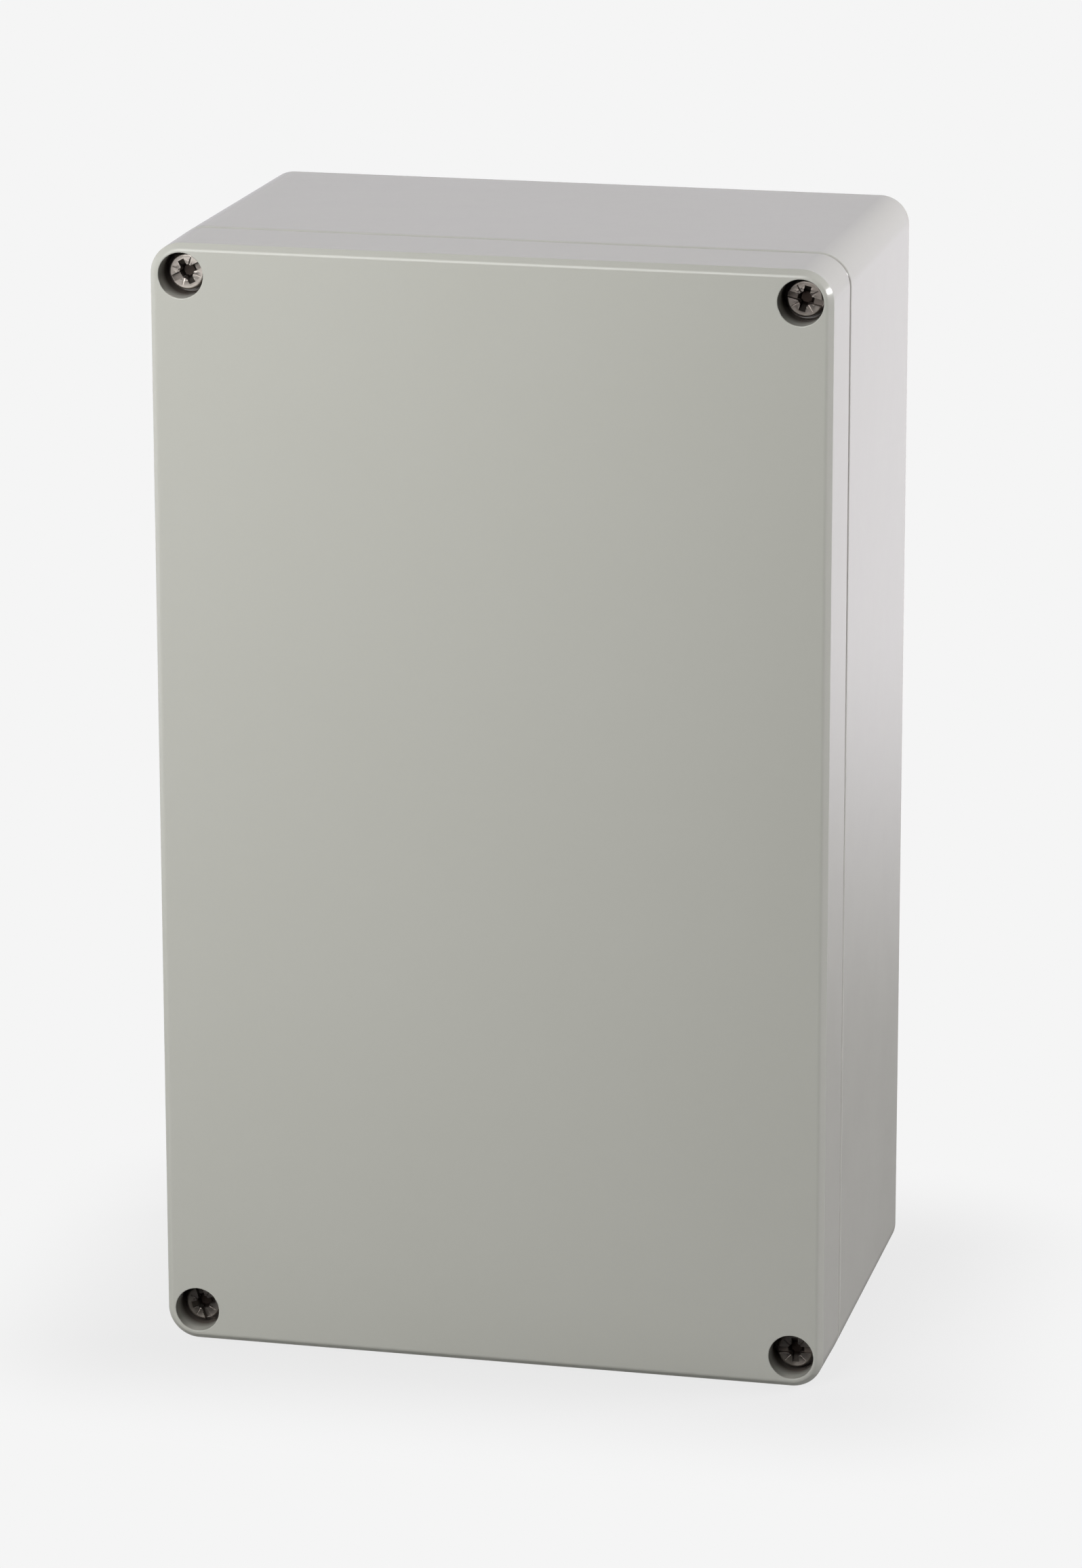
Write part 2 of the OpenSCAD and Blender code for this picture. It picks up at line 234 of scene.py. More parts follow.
def flat_cap(outer, holes):
    """Triangles inside a loop and outside its holes: those of a constrained
    Delaunay net whose middles pass the crossing rule."""
    loops = [outer, *holes]
    first = np.cumsum([0] + [len(loop) for loop in loops])
    sides = np.concatenate([
        np.stack([np.arange(n), np.roll(np.arange(n), -1)], 1) + start
        for start, n in zip(first, map(len, loops))])
    net = delaunay_2d_cdt([Vector(p) for p in np.concatenate(loops)],
                          sides.tolist(), [], 0, 1e-6)
    plan, triangles = np.array(net[0]), np.array(net[2])
    middles = plan[triangles].mean(1)
    kept = inside(outer, middles)
    for hole in holes:
        kept &= ~inside(hole, middles)
    return plan, triangles[kept]


# %% Shell that gathers grids and caps
def stand(points):
    """Turns local millimetres into metres with the box stood up: the height above
    the back goes to minus Y, and the length goes to Z."""
    x, y, z = np.moveaxis(points, -1, 0)
    return np.stack([x, BOX_D / 2 - z, y + BOX_H / 2], -1) * MM


class Shell:
    """Grids and caps that close into one skin."""

    def __init__(self):
        self.points, self.faces, self.count = [], [], 0

    def add(self, points, faces):
        self.points.append(points.reshape(-1, 3))
        self.faces += (faces + self.count).tolist()
        self.count += len(self.points[-1])

    def grid(self, points):
        """Quads between neighbours in an array of rows, each closed into a ring."""
        index = np.arange(points.shape[0] * points.shape[1]).reshape(points.shape[:2])
        on = np.roll(index, -1, 1)
        quads = np.stack([index[:-1], on[:-1], on[1:], index[1:]], -1)
        self.add(points, quads.reshape(-1, 4))

    def cap(self, height, outer, *holes):
        plan, triangles = flat_cap(outer, holes)
        self.add(np.column_stack([plan, np.full(len(plan), height)]), triangles)

    def mesh(self):
        """Joins the shared rows, drops what they flatten and points the faces out."""
        made = bmesh.new()
        data = bpy.data.meshes.new("shell")
        data.from_pydata(stand(np.concatenate(self.points)), [], self.faces)
        made.from_mesh(data)
        bmesh.ops.remove_doubles(made, verts=made.verts, dist=1e-6)
        bmesh.ops.dissolve_degenerate(made, edges=made.edges, dist=1e-7)
        bmesh.ops.recalc_face_normals(made, faces=made.faces)
        return made


# %% Finished pieces
def piece(made, name, node, body, sharp=35):
    """Turns a bmesh into a named piece that stands for a CAD node. Smooth shading
    with sharp edges past an angle, and normals weighted by area, keep the flat
    faces flat and the small rounds round."""
    open_edges = sum(len(edge.link_faces) != 2 for edge in made.edges)
    data = bpy.data.meshes.new(name)
    made.to_mesh(data)
    volume = made.calc_volume(signed=True)
    made.free()
    data.shade_smooth()
    data.set_sharp_from_angle(angle=math.radians(sharp))
    shown = bpy.data.objects.new(name, data)
    bpy.context.scene.collection.objects.link(shown)
    weighted = shown.modifiers.new("weighted_normals", "WEIGHTED_NORMAL")
    weighted.keep_sharp = True
    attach(shown, body)
    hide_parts(node)
    print(f"{name}: {len(data.polygons)} faces, {open_edges} open edges, "
          f"{volume * 1e9:.1f} mm3")
    return shown


# %% [markdown]
# ## The lid
# The lid is a deep cover. Its outer skin is carried round the box's outline: a
# rounded lip at the seam, a drafted skirt, a flat bevel and a soft edge at the face.
# Underneath, one profile runs round the inside: groove, ridge and hollow.

# %% Outer skin of the lid
lid = Shell()
lid_in = (LID_H - LID_BEVEL) * math.tan(LID_DRAFT)
lid_skin = eased(
    [(0.72, SEAM_Z), (0, SEAM_Z), (lid_in, BOX_D - LID_BEVEL),
     (lid_in + LID_BEVEL, BOX_D), (lid_in + LID_BEVEL + 0.38, BOX_D)],
    (0.7, 0.14, 0.9))
lid.grid(carried(lid_skin, box_outline))
print("lid skin rows:", len(lid_skin), "draft in mm:", round(lid_in, 3))

# %% Groove, ridge and hollow of the lid
lid_inside = eased(
    [(1.35, SEAM_Z), (GROOVE_OUT, SEAM_Z), (GROOVE_OUT, GROOVE_Z), (GROOVE_IN, GROOVE_Z),
     (GROOVE_IN, SEAM_Z), (RIDGE_IN, SEAM_Z), (RIDGE_IN, CEILING_Z), (5.2, CEILING_Z)],
    (0.1, 0.25, 0.25, 0.15, 0.15, 0.6))
lid.grid(carried(lid_inside, inner_outline))

# %% Stepped screw holes and blind ends of the fixing channels
screw_hole = eased(
    [(RECESS_R + 0.19, BOX_D), (RECESS_R, BOX_D), (RECESS_R, SEAT_Z), (SHANK_HOLE_R, SEAT_Z),
     (SHANK_HOLE_R, POCKET_Z), (POCKET_R, POCKET_Z), (POCKET_R, SEAM_Z),
     (POCKET_R + 0.2, SEAM_Z)],
    (0.17, 0.2, 0.1, 0.1, 0.15, 0.15))
blind_end = eased(
    [(CHANNEL_R + 0.2, SEAM_Z), (CHANNEL_R, SEAM_Z), (CHANNEL_R, CEILING_Z), (0, CEILING_Z)],
    (0.15, 0.4))
for side in CORNERS.values():
    lid.grid(turned(screw_hole, *np.multiply(side, SCREWS)))
    lid.grid(turned(blind_end, *np.multiply(side, FIXINGS)))


def rings(radius, place):
    """The four circles of one radius at a place mirrored into the corners."""
    return [circle(radius, *np.multiply(side, place)) for side in CORNERS.values()]


# %% Flat faces of the lid
lid.cap(BOX_D, box_outline(lid_skin[-1:, 0])[0], *rings(screw_hole[0, 0], SCREWS))
lid.cap(SEAM_Z, box_outline(lid_skin[:1, 0])[0], inner_outline(lid_inside[:1, 0])[0],
        *rings(screw_hole[-1, 0], SCREWS), *rings(blind_end[0, 0], FIXINGS))
lid.cap(CEILING_Z, inner_outline(lid_inside[-1:, 0])[0])
lid_look = piece(lid.mesh(), "lid_moulding", "lid", "lid")

# %% [markdown]
# ## The base
# The base is a deep tray with the sealing tongue on its rim. Raised seats in the
# corners carry the lid, so that a fine even line shows between the two mouldings.

# %% Outer skin and inside of the base
base = Shell()
base_in = (BASE_Z - BACK_BEVEL) * math.tan(BASE_DRAFT)
base_skin = eased(
    [(0.92, BASE_Z), (0, BASE_Z), (base_in, BACK_BEVEL), (base_in + BACK_BEVEL, 0),
     (base_in + BACK_BEVEL + 0.2, 0)],
    (0.9, 0.15, 0.15))
base_inside = eased(
    [(1.7, BASE_Z), (TONGUE_OUT, BASE_Z), (TONGUE_OUT, TONGUE_Z), (TONGUE_IN, TONGUE_Z),
     (TONGUE_IN, BASE_Z), (WALL, BASE_Z), (WALL, FLOOR_Z), (4.6, FLOOR_Z)],
    (0.08, 0.2, 0.2, 0, 0.06, 1.0))
base.grid(carried(base_skin, box_outline))
base.grid(carried(base_inside, inner_outline))
print("base draft in mm:", round(base_in, 3))

# %% Pillars, channels and bosses
pillar = eased(
    [(SEAT_R, BASE_Z), (SEAT_R, SEAM_Z), (POCKET_R, SEAM_Z), (POCKET_R, INSERT_TOP_Z),
     (INSERT_R + PRESS_GAP, INSERT_TOP_Z), (INSERT_R + PRESS_GAP, INSERT_Z), (0, INSERT_Z)],
    (0.08, 0.12, 0.2, 0, 0.1))
channel = eased(
    [(CHANNEL_R + 0.2, BASE_Z), (CHANNEL_R, BASE_Z), (CHANNEL_R, CHANNEL_Z),
     (FIXING_R, CHANNEL_Z), (FIXING_R, 0), (FIXING_R + 0.25, 0)],
    (0.15, 0.4, 0.1, 0.2))
panel_boss = eased(
    [(PANEL_R + 0.55, FLOOR_Z), (PANEL_R, FLOOR_Z), (PANEL_R, PANEL_Z),
     (PANEL_INSERT_R + PRESS_GAP, PANEL_Z),
     (PANEL_INSERT_R + PRESS_GAP, PANEL_Z - PANEL_INSERT_L), (0, PANEL_Z - PANEL_INSERT_L)],
    (0.5, 0.3, 0.1, 0.1))
board_boss = eased(
    [(BOARD_R + 0.55, FLOOR_Z), (BOARD_R, FLOOR_Z), (BOARD_R, BOARD_Z), (PILOT_R, BOARD_Z),
     (PILOT_R, BOARD_Z - PILOT_DEPTH), (0, BOARD_Z - PILOT_DEPTH)],
    (0.5, 0.3, 0.15, 0.1))
for side in CORNERS.values():
    for profile, place in ((pillar, SCREWS), (channel, FIXINGS),
                           (panel_boss, PANELS), (board_boss, BOARDS)):
        base.grid(turned(profile, *np.multiply(side, place)))

# %% Flat faces of the base
base.cap(BASE_Z, box_outline(base_skin[:1, 0])[0], inner_outline(base_inside[:1, 0])[0],
         *rings(SEAT_R, SCREWS), *rings(channel[0, 0], FIXINGS))
base.cap(0, box_outline(base_skin[-1:, 0])[0], *rings(channel[-1, 0], FIXINGS))
base.cap(FLOOR_Z, inner_outline(base_inside[-1:, 0])[0],
         *rings(panel_boss[0, 0], PANELS), *rings(board_boss[0, 0], BOARDS))
base_look = piece(base.mesh(), "base_moulding", "base", "base")

# %% [markdown]
# ## The gasket
# A foam rubber cord lies in the lid's groove. It is a rounded square carried round
# the inside's outline, and its profile closes on itself.

# %% Gasket
low, high = GASKET_Z, GROOVE_Z
inner, outer = GROOVE_IN - GASKET_SIDE_GAP, GROOVE_OUT + GASKET_SIDE_GAP
middle = (inner + outer) / 2
gasket_ring = eased(
    [(middle, low), (inner, low), (inner, high), (outer, high), (outer, low), (middle, low)],
    (0.5, 0.4, 0.4, 0.5))
gasket = Shell()
gasket.grid(carried(gasket_ring, inner_outline))
gasket_look = piece(gasket.mesh(), "gasket_cord", "gasket", "lid")

# %% [markdown]
# ## The lid's screws
# The head's slot and cross recess are real shapes in the CAD model, so its head is
# copied, merged and given worn edges. The thread is too fine for the CAD model. Here
# it is a surface whose radius depends on the angle and the height together: one turn
# round climbs one pitch.

# %% Threaded surface
def tooth(share):
    """Height of a 60 degree thread over one pitch, from 0 at the root to 1 at the
    crest: flat for an eighth at the crest and a quarter at the root, straight between."""
    off_crest = np.abs(share % 1 - 0.5) * 2
    return np.clip((0.75 - off_crest) / (0.75 - 0.125), 0, 1)


def threaded(heights, pitch, root, crest, limit, steps=48):
    """Rows of a thread: at each height and angle the radius is the root's plus the
    tooth's share of the rest, where the share is the height over the pitch less the
    angle over a turn, and never more than the limit at that height."""
    turn = np.arange(steps) * 2 * math.pi / steps
    climb = heights[:, None] / pitch - turn / (2 * math.pi)
    radius = np.minimum(root + (crest - root) * tooth(climb), limit[:, None])
    plan = radius[..., None] * around(turn)
    height = np.broadcast_to(heights[:, None, None], (*plan.shape[:2], 1))
    return np.concatenate([plan, height], -1)


# %% Shank of a screw
ROWS_PER_TURN = 16
thread_rows = np.linspace(THREAD_Z, TIP_Z, 1 + round(THREAD_L / PITCH * ROWS_PER_TURN))
limit = np.minimum(NECK_R + (THREAD_Z - thread_rows),
                   THREAD_R - TIP_BEVEL + (thread_rows - TIP_Z))
thread = threaded(thread_rows, PITCH, ROOT_R, THREAD_R, np.minimum(limit, THREAD_R))
neck = turned(np.array([[NECK_R, SEAT_Z - 0.2], [NECK_R, THREAD_Z]]), 0, 0, 48)
tip = turned(np.array([[THREAD_R - TIP_BEVEL, TIP_Z], [0, TIP_Z]]), 0, 0, 48)
print("shank rows:", len(neck) + len(thread) + len(tip))


# %% Head of a screw
WORN_EDGE = 0.045


def screw_head(node):
    """A merged copy of the CAD screw without its shank, with its flat faces whole and
    its edges bevelled."""
    made = bmesh.new()
    made.from_mesh(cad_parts[node].data)
    bmesh.ops.remove_doubles(made, verts=made.verts, dist=1e-6)
    under = (BOX_D / 2 - SEAT_Z) * MM
    shank = [v for v in made.verts if v.co.y > under + 1e-5]
    bmesh.ops.delete(made, geom=shank, context="VERTS")
    bmesh.ops.dissolve_limit(made, angle_limit=math.radians(1), verts=made.verts,
                             edges=made.edges)
    worn = [e for e in made.edges if len(e.link_faces) == 2
            and e.calc_face_angle() > math.radians(28)]
    bmesh.ops.bevel(made, geom=worn, offset=WORN_EDGE * MM, segments=2, profile=0.5,
                    affect="EDGES", clamp_overlap=True)
    return made


def by_points(face):
    """A face's place in the order of its points: one number from the three lowest of
    their numbers, which no other face shares."""
    first, second, third = sorted(v.index for v in face.verts)[:3]
    return (first * 1e5 + second) * 1e5 + third


def add_shank(made, x, y):
    """Adds the neck, the thread and the tip, and bridges the neck to the head. The
    bridge's faces come in another order each run, so the faces are put in the order
    of their points."""
    shell = Shell()
    for rows in (neck, thread, tip):
        shell.grid(rows + [x, y, 0])
    shank = shell.mesh()
    data = bpy.data.meshes.new("shank")
    shank.to_mesh(data)
    shank.free()
    made.from_mesh(data)
    rims = [e for e in made.edges if len(e.link_faces) == 1]
    bmesh.ops.bridge_loops(made, edges=rims)
    bmesh.ops.recalc_face_normals(made, faces=made.faces)
    made.verts.index_update()
    made.faces.sort(key=by_points)
    return made


screw_looks = []
for corner, side in CORNERS.items():
    head = screw_head("screw_" + corner)
    screw_looks.append(piece(
        add_shank(head, *np.multiply(side, SCREWS)), "lid_screw_" + corner,
        "screw_" + corner, "screw_" + corner, 30))

# %% [markdown]
# ## Retaining rings
# A soft rubber ring sits on each screw's neck, under the lid, and keeps the screw
# from falling out. It is a rounded rectangle turned about the screw's axis.

# %% Rings
low, high = RING_Z, RING_Z + RING_T
inner = NECK_R + RING_GAP
outer = inner + RING_T
middle = (inner + outer) / 2
ring_profile = eased(
    [(middle, low), (inner, low), (inner, high), (outer, high), (outer, low), (middle, low)],
    (0.25, 0.25, 0.5, 0.5))
ring_looks = []
for corner, side in CORNERS.items():
    ring = Shell()
    ring.grid(turned(ring_profile, *np.multiply(side, SCREWS)))
    ring_looks.append(piece(ring.mesh(), "retaining_ring_" + corner, "ring_" + corner,
                            "ring_" + corner))

# %% [markdown]
# ## Brass inserts
# Each insert is one closed surface of turned brass. Two knurled bands with opposite
# slants grip the plastic, a plain waist parts them, and the bore carries a thread.

# %% Knurled insert
def knurled_insert(radius, length, bore, pitch, ridges, steps=192):
    """Rows of (radius, height) round a closed loop. Outside, the radius drops by a
    triangle wave of the angle that slants with the height, within the two bands.
    Inside, a thread is cut outwards from the bore."""
    knurl, waist, bevel, cut, lead_in = 0.16, 0.35, 0.3, 0.18, 0.25
    turn = np.arange(steps) * 2 * math.pi / steps
    up = np.linspace(0, length, 41)[:, None]
    band = (up < 0.38 * length) | (up > 0.56 * length)
    slant = np.where(up < length / 2, 1, -1) * up * 0.55 / radius
    wave = np.abs((ridges * (turn + slant) / (2 * math.pi)) % 1 - 0.5) * 2
    outside = np.where(band, radius - knurl * wave, radius - waist)
    outside = np.minimum(outside, radius - bevel + np.minimum(up, length - up))
    down = np.linspace(length, 0, 1 + round(length / pitch * 10))[:, None]
    inside_r = bore + cut * tooth(down / pitch - turn / (2 * math.pi))
    inside_r = np.maximum(inside_r, bore + lead_in - np.minimum(down, length - down))
    radii = np.concatenate([outside, inside_r, outside[:1]])
    heights = np.concatenate([up, down, up[:1]])
    plan = radii[..., None] * around(turn)
    height = np.broadcast_to(heights[..., None], (*plan.shape[:2], 1))
    return np.concatenate([plan, height], -1)


# %% Inserts in their places
pillar_brass = knurled_insert(INSERT_R, INSERT_L, THREAD_R + 0.05, PITCH, 32)
pillar_brass = pillar_brass + [0, 0, INSERT_Z]
panel_brass = knurled_insert(PANEL_INSERT_R, PANEL_INSERT_L, PANEL_BORE_R, PANEL_PITCH, 26)
panel_brass = panel_brass + [0, 0, PANEL_Z - PANEL_INSERT_L]
insert_looks = []
for corner, side in CORNERS.items():
    for prefix, rows, place in (("", pillar_brass, SCREWS), ("panel_", panel_brass, PANELS)):
        node = prefix + "insert_" + corner
        brass = Shell()
        brass.grid(rows + [*np.multiply(side, place), 0])
        insert_looks.append(
            piece(brass.mesh(), "brass_" + node, node, "base", 40))

# %% [markdown]
# ## Shader maths
# A wrapped socket takes the place of a number in an expression: each operator adds
# one Math node. Any other node comes from one method of the finish.

# %% Wrapped sockets and finishes
def linear(*shades):
    """Colour in linear light from 0 to 255 shades: the curve of sRGB, undone."""
    share = np.array(shades) / 255
    curved = ((share + 0.055) / 1.055) ** 2.4
    return (*np.where(share > 0.04045, curved, share / 12.92).tolist(), 1)


class Wire:
    """An output socket with arithmetic."""

    def __init__(self, finish, socket):
        self.finish, self.socket = finish, socket

    def math(self, operation, *values, clamp=False):
        return self.finish.node("ShaderNodeMath", {"operation": operation, "use_clamp": clamp},
                                dict(enumerate([self, *values])))

    def __add__(self, other):
        return self.math("ADD", other)

    def __sub__(self, other):
        return self.math("SUBTRACT", other)

    def __rsub__(self, other):
        return self.finish.node("ShaderNodeMath", {"operation": "SUBTRACT"}, {0: other, 1: self})

    def __mul__(self, other):
        return self.math("MULTIPLY", other)

    def __truediv__(self, other):
        return self.math("DIVIDE", other)

    __radd__, __rmul__ = __add__, __mul__

    def clamped(self):
        return self.math("ADD", 0.0, clamp=True)

    def other(self, name):
        """Another output of the same node."""
        return Wire(self.finish, self.socket.node.outputs[name])


class Finish:
    """A material, or the world, whose nodes are added by one method."""

    def __init__(self, owner):
        self.owner = owner
        owner.use_nodes = True
        self.tree = owner.node_tree
        self.tree.nodes.clear()

    def node(self, kind, settings=None, sockets=None, out=0):
        """Adds a node: first its settings, then its sockets' values or links."""
        node = self.tree.nodes.new(kind)
        for name, value in (settings or {}).items():
            setattr(node, name, value)
        for name, value in (sockets or {}).items():
            if isinstance(value, Wire):
                self.tree.links.new(value.socket, node.inputs[name])
            else:
                node.inputs[name].default_value = value
        return Wire(self, node.outputs[out]) if node.outputs else None

    def place(self):
        return self.node("ShaderNodeTexCoord", out="Object")

    def part(self, axis, vector):
        """One coordinate of a vector."""
        return self.node("ShaderNodeSeparateXYZ", {}, {"Vector": vector}, out=axis)

    def vector(self, operation, *values, out="Vector"):
        """Adds one Vector Math node."""
        return self.node("ShaderNodeVectorMath", {"operation": operation},
                         dict(enumerate(values)), out)

    def noise(self, size_mm, detail=2.0, roughness=0.5, stretch=(1, 1, 1)):
        """Soft noise from 0 to 1 whose blobs are about this many millimetres wide."""
        at = self.node("ShaderNodeMapping", {"vector_type": "POINT"},
                       {"Vector": self.place(), "Scale": stretch})
        return self.node("ShaderNodeTexNoise", {"noise_dimensions": "3D"},
                         {"Vector": at, "Scale": 1 / (size_mm * MM), "Detail": detail,
                          "Roughness": roughness})

    def mix(self, factor, one, other, blend="MIX"):
        """Mixes two colours."""
        return self.node("ShaderNodeMix", {"data_type": "RGBA", "blend_type": blend},
                         {0: factor, 6: one, 7: other}, out=2)

    def bump(self, height, depth_mm, strength=1.0):
        return self.node("ShaderNodeBump", {},
                         {"Height": height, "Distance": depth_mm * MM, "Strength": strength})

    def surface(self, sockets):
        shader = self.node("ShaderNodeBsdfPrincipled", {}, sockets)
        self.node("ShaderNodeOutputMaterial", {}, {"Surface": shader})
        return self.owner


def smooth(share):
    """Smooth step of a value from 0 to 1: three times its square less twice its cube."""
    share = share.clamped()
    return share * share * (3 - 2 * share)


print("face grey in linear light:", [round(c, 3) for c in linear(180, 181, 170)])

# %% [markdown]
# ## Grey plastic
# The mouldings are light warm grey with a satin gloss. Up close such plastic isn't
# even: the melt leaves faint clouds, the tool's polish leaves a fine orange peel,
# and a few dust specks settle on it. Handling leaves slightly duller patches.

# %% Where a point lies on the box
def off_screw(finish):
    """Sideways offset from the nearest screw's axis, positive towards the box's
    edge: the place folded about the box's middle, less the axis, with no depth."""
    middle, axis = (0, 0, BOX_H / 2 * MM), (SCREWS[0] * MM, 0, SCREWS[1] * MM)
    folded = finish.vector("ABSOLUTE", finish.vector("SUBTRACT", finish.place(), middle))
    return finish.vector("MULTIPLY", finish.vector("SUBTRACT", folded, axis), (1, 0, 1))


def length_mm(vector):
    """Length of a vector in millimetres."""
    return vector.finish.vector("LENGTH", vector, out="Value") / MM


def above_back(finish):
    """Height above the box's back in millimetres."""
    return BOX_D / 2 - finish.part("Y", finish.place()) / MM


# %% Painted shade in the seam and down the screw recesses
# Depths below the face between which the painted shade in a recess grows.
RECESS_SHADE_FROM, RECESS_SHADE_FULL = 1.7, 4.3


def seam_and_recess_shade(finish):
    """Painted shade, brown grey, along the seam and down the screw recesses, where the gap and
    the recess walls are in shade. Along the seam it falls off over a millimetre, upwards,
    downwards and inwards. It fades out at the top end, and is strong only on the upper half of
    the sides. In a recess it grows between two depths below the face, and it stops just outside
    the recess's radius."""
    height, offset = above_back(finish), off_screw(finish)
    inset = CORNER_R - length_mm(finish.vector("MAXIMUM", offset, (0, 0, 0)))
    off_seam = (height - (SEAM_Z + BASE_Z) / 2).math("ABSOLUTE")
    up = finish.part("Z", finish.place()) / MM
    seam_shade_by_height = smooth((BOX_H - up) / CORNER_R) * (0.16 + smooth((up - 100) / 45) * 0.79)
    seam = smooth(1 - off_seam) * seam_shade_by_height * (1 - smooth((inset - 0.3) / 0.6))
    sunk = ((BOX_D - RECESS_SHADE_FROM - height) / (RECESS_SHADE_FULL - RECESS_SHADE_FROM)).clamped()
    sunk = sunk * height.math("GREATER_THAN", SEAT_Z - 0.5)
    within = length_mm(offset).math("LESS_THAN", RECESS_R + 0.3)
    return seam.math("MAXIMUM", sunk * within * 0.82)


# %% Moulded plastic
SPECKS_APART = 21
# Colour of the painted shade in the seam and the screw recesses.
PAINTED_SHADE_TONE = linear(60, 43, 36)


def moulded_plastic():
    """Faint clouds and fine grain in the colour, a few specks, each with a size of its own, and
    painted shade in the seam and the recesses. Smudges and specks roughen it, and peel and pores
    raise it."""
    finish = Finish(bpy.data.materials.new("moulded_grey_plastic"))
    clouds = finish.noise(38, 3)
    grain = finish.noise(0.35, 1)
    tone = finish.mix(clouds, linear(182, 182, 174), linear(184, 184, 177))
    tone = finish.mix(grain * 0.25, tone, linear(178, 178, 171))
    speck = finish.node("ShaderNodeTexVoronoi", {"feature": "F1"},
                        {"Vector": finish.place(), "Scale": 1 / (SPECKS_APART * MM)})
    lone = finish.node("ShaderNodeTexWhiteNoise", {"noise_dimensions": "3D"},
                       {"Vector": speck.other("Position")})
    dust = (1 - speck / (0.003 + lone * 0.007)).clamped() * lone.math("GREATER_THAN", 0.6)
    tone = finish.mix(dust * 0.6, tone, linear(95, 92, 86))
    # Painted shade: darker brown grey along the seam and down the screw recesses.
    tone = finish.mix(seam_and_recess_shade(finish), tone, PAINTED_SHADE_TONE)
    smudge = finish.noise(14, 4, 0.6)
    peel = finish.noise(3.5, 1)
    pores = finish.noise(0.15, 1)
    relief = finish.bump(peel + pores * 0.03, 0.0025)
    return finish.surface({
        "Base Color": tone, "Roughness": 0.17 + smudge * 0.08 + grain * 0.03 + dust * 0.2,
        "Normal": relief, "Specular IOR Level": 0.3})


plastic = moulded_plastic()

# %% [markdown]
# ## Zinc, brass and rubber
# The screws are zinc plated: bright metal with a slightly uneven plate, fine drawing lines and
# dull grey traces where a driver has turned. Each has its own share of painted shade, a dark tone
# in soft patches, as the photograph shows: one is bright and three are dull. Painted shade
# darkens the drive.
# The brass is turned, with fine rings, and the rubber is matt with a dusty bloom.

# %% Zinc plate
# Colour of the painted shade in the drive.
DRIVE_SHADE_TONE = linear(36, 27, 23)
# Each head's share of painted shade, for how much light it catches.
HEAD_SHADE = {"top_left": 0.08, "top_right": 0.55, "bottom_left": 0.38, "bottom_right": 0.4}


def zinc_plate(corner):
    """Zinc with this screw's share of painted shade, a dark tone in soft patches, which stands in
    for how much light the head catches. Below the head's face painted shade darkens the marks and
    the slot, and past the slot's floor the cross. Round the drive the plate is dented where
    drivers have slipped."""
    finish = Finish(bpy.data.materials.new("zinc_plate_" + corner))
    plate = finish.noise(0.7, 4, 0.6)
    scuffs = finish.noise(0.16, 3, 0.6, (1, 0.2, 1))
    traces = ((scuffs - 0.55) * 6).clamped()
    tone = finish.mix(plate, linear(176, 168, 160), linear(204, 197, 190))
    tone = finish.mix(traces * 0.5, tone, linear(122, 112, 104))
    patches = finish.noise(1.6, 2)
    # Painted shade: the head darker by its share, in soft patches.
    tone = finish.mix(HEAD_SHADE[corner] * (0.7 + patches * 0.6), tone, linear(66, 54, 48))
    below = HEAD_Z - above_back(finish)
    # Painted shade in the drive: darker below the head's face, in the marks, the slot and the
    # cross.
    drive_shade = ((below - 0.03) / 0.1).clamped() * 0.5 + ((below - 1.0) / 0.5).clamped() * 0.45
    radius = length_mm(off_screw(finish))
    within = radius.math("LESS_THAN", HEAD_R - 0.1) * below.math("LESS_THAN", HEAD_H - 0.1)
    drive_shade = drive_shade * within
    tone = finish.mix(drive_shade, tone, DRIVE_SHADE_TONE)
    on_face = below.math("LESS_THAN", 0.3)
    dents = smooth((2.8 - radius) / 1.2) * finish.noise(0.5, 2) * on_face
    dull = 0.33 + plate * 0.12 + traces * 0.12 + drive_shade * 0.15 - dents * 0.2
    return finish.surface({"Base Color": tone, "Metallic": 1.0, "Roughness": dull,
                           "Normal": finish.bump(plate + scuffs * 0.4 + dents * 9, 0.006)})


zinc = {corner: zinc_plate(corner) for corner in CORNERS}

# %% Turned brass
def turned_brass():
    """Fine rings from noise that is stretched along the turning, and faint stains."""
    finish = Finish(bpy.data.materials.new("turned_brass"))
    rings_noise = finish.noise(0.5, 3, 0.6, (0.05, 3, 0.05))
    stain = finish.noise(1.8, 3)
    tone = finish.mix(stain, linear(205, 168, 96), linear(222, 190, 120))
    return finish.surface({
        "Base Color": tone, "Metallic": 1.0, "Roughness": 0.25 + rings_noise * 0.2,
        "Normal": finish.bump(rings_noise, 0.008)})


brass_finish = turned_brass()

# %% Black rubber
def black_rubber():
    """Nearly black, with a paler bloom in soft patches and a fine matt skin."""
    finish = Finish(bpy.data.materials.new("black_rubber"))
    bloom = finish.noise(3, 4, 0.6)
    skin = finish.noise(0.25, 2)
    tone = finish.mix(bloom, linear(34, 34, 35), linear(56, 56, 57))
    return finish.surface({
        "Base Color": tone, "Roughness": 0.6 + bloom * 0.2, "Normal": finish.bump(skin, 0.03)})


rubber = black_rubber()
print("finishes:", [made.name for made in (plastic, *zinc.values(), brass_finish, rubber)])

# %% Finishes on their pieces
def dress(shown, material):
    """Gives a piece one material on all of its faces."""
    shown.data.materials.clear()
    shown.data.materials.append(material)


for shown in (lid_look, base_look):
    dress(shown, plastic)
for shown, material in zip(screw_looks, zinc.values()):
    dress(shown, material)
for shown in insert_looks:
    dress(shown, brass_finish)
for shown in (gasket_look, *ring_looks):
    dress(shown, rubber)
print("dressed", 3 + len(screw_looks) + len(insert_looks) + len(ring_looks), "pieces")
